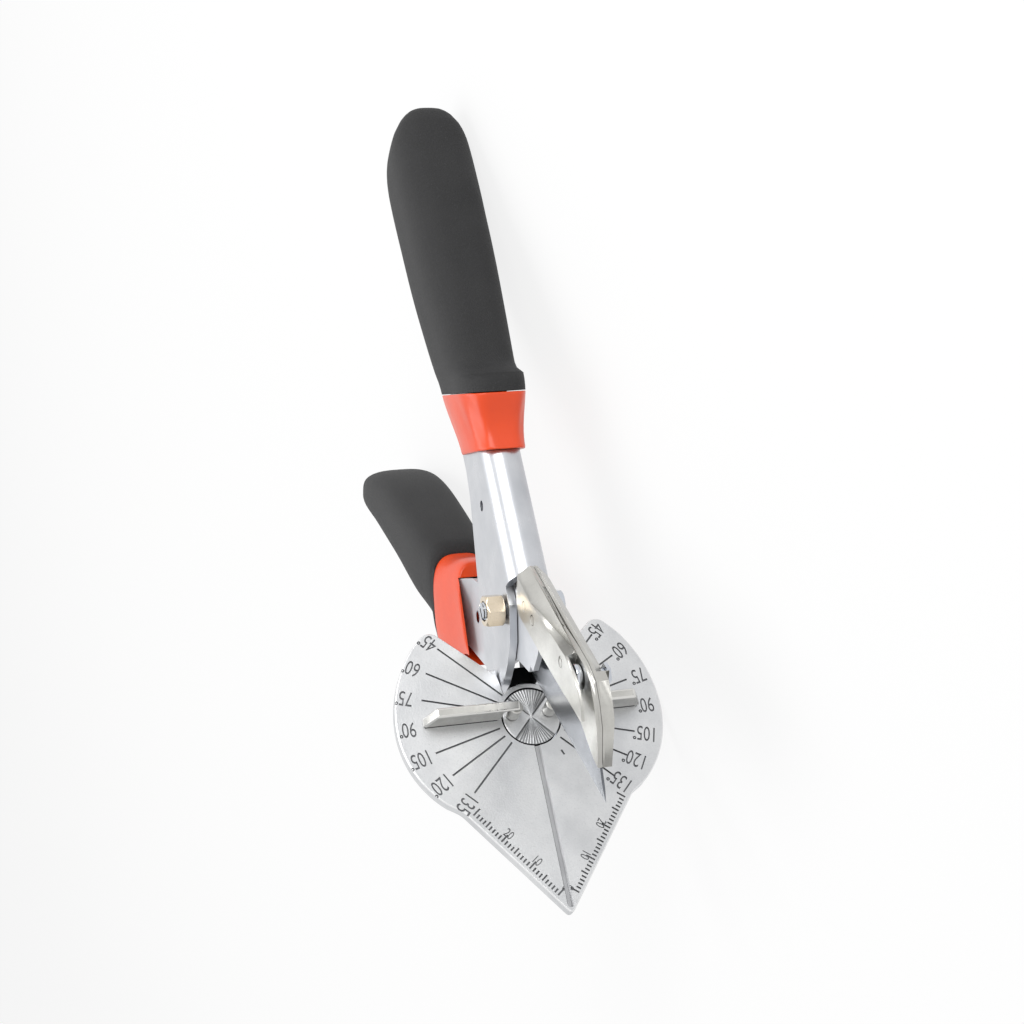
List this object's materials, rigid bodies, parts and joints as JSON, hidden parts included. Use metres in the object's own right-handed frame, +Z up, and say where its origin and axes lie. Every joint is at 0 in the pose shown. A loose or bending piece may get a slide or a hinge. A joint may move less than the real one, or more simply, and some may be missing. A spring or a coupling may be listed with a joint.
{
  "type": "mitre shears",
  "caption": "Hand-held mitre shears: two crossed handles, a trapezoid blade in a cast holder, a heart-shaped angle plate with ruler edges and a turning two-armed fence.",
  "frame": {"origin": "middle of the object's box on the floor it lies on", "axes": "+Z up from the floor; +Y from the plate's tip back to the handles; +X roughly the way the angle plate's top faces"},
  "size_m": [0.171, 0.2446, 0.0746],
  "materials": {
    "plated_steel": "bright zinc plate, smooth",
    "nickel": "warm nickel plate",
    "cast_plate": "satin tumbled casting with dark engraving",
    "cast_fence": "satin casting",
    "cast_holder": "polished casting",
    "blade_steel": "ground blade steel",
    "collar": "glossy orange moulding",
    "grip": "matte dark soft grip with a fine grain"
  },
  "bodies": {
    "frame": {"base_plate": "cast_plate", "base_spacer": "plated_steel", "base_rivet_upper": "plated_steel", "base_rivet_lower": "plated_steel", "upper_handle": "plated_steel", "upper_collar": "collar", "upper_grip": "grip", "pivot_bolt": "plated_steel", "pivot_nut": "nickel", "pivot_washer": "plated_steel"},
    "lever": {"lower_handle": "plated_steel", "lower_collar": "collar", "lower_grip": "grip", "lower_rivet": "plated_steel", "hex_spacer": "plated_steel", "spacer_washer": "plated_steel", "blade": "blade_steel", "holder_left": "cast_holder", "holder_right": "cast_holder", "clamp_bolt": "plated_steel", "clamp_nut": "plated_steel", "holder_pin_rear": "plated_steel", "holder_pin_front": "plated_steel"},
    "turntable": {"turntable_disc": "cast_plate", "wave_washer": "plated_steel", "turntable_retainer": "plated_steel", "turntable_screw": "plated_steel", "fence_left": "cast_fence", "fence_right": "cast_fence", "fence_post_left": "cast_fence", "fence_post_right": "cast_fence"}
  },
  "joints": [
    {"name": "lever_pivot", "type": "hinge", "parent": "frame", "child": "lever", "pos_m": [0.04205, -0.04314, 0.03472], "axis": [0.0704, -0.1465, -0.9867], "range_deg": [0, 36]},
    {"name": "fence_turn", "type": "hinge", "parent": "frame", "child": "turntable", "pos_m": [0.02733, -0.06861, 0.03745], "axis": [0.9975, 0.0103, 0.0696], "range_deg": [-45, 45]}
  ]
}
